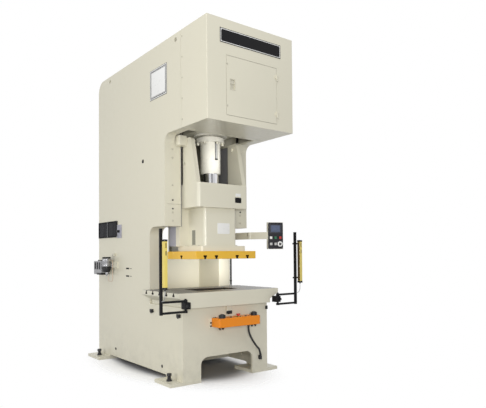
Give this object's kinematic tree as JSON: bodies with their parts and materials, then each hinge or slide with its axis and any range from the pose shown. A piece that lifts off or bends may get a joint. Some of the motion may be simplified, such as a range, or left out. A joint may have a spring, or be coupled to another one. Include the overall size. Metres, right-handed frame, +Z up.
{
  "type": "mechanical stamping press",
  "caption": "C-frame mechanical stamping press with a crank-driven slide, T-slotted bolster, light guards, two-hand console and a swinging operator pendant.",
  "frame": {"origin": "floor level, on the middle plane between the side plates, halfway along the depth", "axes": "+X to the right of an operator facing the machine, +Y to the rear, +Z up"},
  "size_m": [1.84, 2.6923, 3.7],
  "materials": {
    "cream_enamel": "satin machine enamel over steel",
    "black_plate": "gloss black sheet with a thin white border",
    "bolt_steel": "blackened steel with worn edges",
    "bronze": "oiled bearing bronze",
    "grey_iron": "painted grey casting",
    "black_rubber": "matt black rubber",
    "ground_steel": "ground steel with a thin oil film",
    "black_paint": "satin black",
    "orange_enamel": "satin orange enamel",
    "black_plastic": "moulded black plastic",
    "dark_panel": "dark grey satin",
    "smoke_plastic": "smoked clear bowl in a dark guard",
    "copper": "bare copper tube",
    "chrome": "hard chrome",
    "yellow_paint": "satin yellow enamel",
    "green_plastic": "moulded green plastic",
    "red_plastic": "moulded red plastic",
    "white_plastic": "moulded white plastic"
  },
  "bodies": {
    "root": {"frame": "cream_enamel", "head_cover": "cream_enamel", "bare_plates": "black_plate", "frame_bolts": "bolt_steel", "rear_cover": "cream_enamel", "crank_bearings": "bronze", "plunger_guide": "cream_enamel", "sight_gauge": "black_plastic", "gear_housing": "grey_iron", "motor": "grey_iron", "drive_belts": "black_rubber", "counterbalance_cylinders": "cream_enamel", "gibs": "bronze", "keeper_strips": "cream_enamel", "bolster": "ground_steel", "levelling_bolts": "bolt_steel", "guard_clamps": "black_paint", "console": "orange_enamel", "button_collars": "black_plastic", "glands": "black_plastic", "console_hose": "black_rubber", "pendant_bracket": "cream_enamel", "side_panel": "dark_panel", "filter_bowl": "smoke_plastic", "valve_block": "grey_iron", "air_pipe": "copper", "bed_fittings": "black_plastic", "throat_conduit": "black_plastic"},
    "crank": {"crankshaft": "ground_steel"},
    "conrod": {"connecting_rod": "grey_iron", "rod_cap": "grey_iron", "wrist_pin": "ground_steel"},
    "ram_plunger": {"plunger": "chrome"},
    "ram": {"slide": "cream_enamel", "guide_rails": "ground_steel", "slide_plate": "yellow_paint", "adjusting_nut": "ground_steel", "counterbalance_rods": "chrome"},
    "flywheel_set": {"flywheel": "grey_iron", "drive_shaft": "ground_steel"},
    "pulley": {"motor_pulley": "grey_iron"},
    "door": {"front_door": "cream_enamel"},
    "left_guard": {"left_guard_post": "black_paint", "left_light_bar": "yellow_paint"},
    "right_guard": {"right_guard_post": "black_paint", "right_light_bar": "yellow_paint"},
    "start_key": {"start_button": "green_plastic"},
    "inch_key": {"inch_button": "black_plastic"},
    "left_palm": {"left_palm_button": "black_plastic"},
    "right_palm": {"right_palm_button": "black_plastic"},
    "stop_key": {"stop_button": "red_plastic"},
    "arm_link": {"pendant_link": "cream_enamel"},
    "pendant": {"pendant_arm": "cream_enamel", "pendant_box": "cream_enamel"},
    "white_key": {"pendant_white_button": "white_plastic"},
    "green_key": {"pendant_green_button": "green_plastic"},
    "red_key": {"pendant_red_button": "red_plastic"},
    "dial": {"pendant_dial": "black_plastic"},
    "lever": {"switch_lever": "black_plastic"},
    "air_knob": {"regulator_knob": "black_plastic"}
  },
  "joints": [
    {"name": "slide_stroke", "type": "slide", "parent": "root", "child": "ram_plunger", "axis": [0, 0, 1], "range_m": [0, 0.2]},
    {"name": "slide_adjust", "type": "slide", "parent": "ram_plunger", "child": "ram", "axis": [0, 0, 1], "range_m": [0, 0.07]},
    {"name": "crank_turn", "type": "hinge", "parent": "root", "child": "crank", "pos_m": [0, -0.555, 3.3], "axis": [0, 1, 0], "range_deg": [0, 180]},
    {"name": "rod_swing", "type": "hinge", "parent": "crank", "child": "conrod", "pos_m": [0, -0.555, 3.2], "axis": [0, 1, 0], "range_deg": [-180, 0]},
    {"name": "flywheel_spin", "type": "hinge", "parent": "root", "child": "flywheel_set", "pos_m": [0, 0.88, 2.96], "axis": [0, 1, 0], "continuous": true},
    {"name": "pulley_spin", "type": "hinge", "parent": "root", "child": "pulley", "pos_m": [0, 0.88, 2.19], "axis": [0, 1, 0], "continuous": true},
    {"name": "door_swing", "type": "hinge", "parent": "root", "child": "door", "pos_m": [0.3325, -1.3463, 3.04], "axis": [0, 0, 1], "range_deg": [0, 100]},
    {"name": "left_guard_swing", "type": "hinge", "parent": "root", "child": "left_guard", "pos_m": [-0.615, -1.005, 0.83], "axis": [0, 0, 1], "range_deg": [0, 60]},
    {"name": "right_guard_swing", "type": "hinge", "parent": "root", "child": "right_guard", "pos_m": [0.615, -1.005, 0.83], "axis": [0, 0, -1], "range_deg": [0, 60]},
    {"name": "start_press", "type": "slide", "parent": "root", "child": "start_key", "axis": [0, 0, -1], "range_m": [0, 0.003], "stiffness_N_per_m": 400},
    {"name": "inch_press", "type": "slide", "parent": "root", "child": "inch_key", "axis": [0, 0, -1], "range_m": [0, 0.003], "stiffness_N_per_m": 400},
    {"name": "left_palm_press", "type": "slide", "parent": "root", "child": "left_palm", "axis": [0, 0, -1], "range_m": [0, 0.006], "stiffness_N_per_m": 400},
    {"name": "right_palm_press", "type": "slide", "parent": "root", "child": "right_palm", "axis": [0, 0, -1], "range_m": [0, 0.006], "stiffness_N_per_m": 400},
    {"name": "stop_press", "type": "slide", "parent": "root", "child": "stop_key", "axis": [0, 0, -1], "range_m": [0, 0.006], "stiffness_N_per_m": 400},
    {"name": "pendant_link_swing", "type": "hinge", "parent": "root", "child": "arm_link", "pos_m": [0.54, -0.2, 1.57], "axis": [0, 0, 1], "range_deg": [0, 40]},
    {"name": "pendant_elbow", "type": "hinge", "parent": "arm_link", "child": "pendant", "pos_m": [0.6, -0.52, 1.57], "axis": [0, 0, 1], "range_deg": [0, 60]},
    {"name": "white_press", "type": "slide", "parent": "pendant", "child": "white_key", "axis": [0.4226, 0.9063, 0], "range_m": [0, 0.003], "stiffness_N_per_m": 400},
    {"name": "green_press", "type": "slide", "parent": "pendant", "child": "green_key", "axis": [0.4226, 0.9063, 0], "range_m": [0, 0.003], "stiffness_N_per_m": 400},
    {"name": "red_press", "type": "slide", "parent": "pendant", "child": "red_key", "axis": [0.4226, 0.9063, 0], "range_m": [0, 0.003], "stiffness_N_per_m": 400},
    {"name": "dial_turn", "type": "hinge", "parent": "pendant", "child": "dial", "pos_m": [0.85336, -0.78804, 1.47], "axis": [0.4226, 0.9063, 0], "range_deg": [0, 90]},
    {"name": "lever_turn", "type": "hinge", "parent": "root", "child": "lever", "pos_m": [-0.59, 0.664, 1.6505], "axis": [1, 0, 0], "range_deg": [0, 90]},
    {"name": "knob_turn", "type": "hinge", "parent": "root", "child": "air_knob", "pos_m": [-0.65, 0.88, 1.3], "axis": [0, 0, 1], "range_deg": [0, 360]}
  ],
  "couplings": [
    {"joint": "crank_turn", "follows": "slide_stroke", "rad_per_m": 15.708},
    {"joint": "rod_swing", "follows": "slide_stroke", "rad_per_m": -15.708},
    {"joint": "pulley_spin", "follows": "flywheel_spin", "ratio": 6.0676}
  ]
}
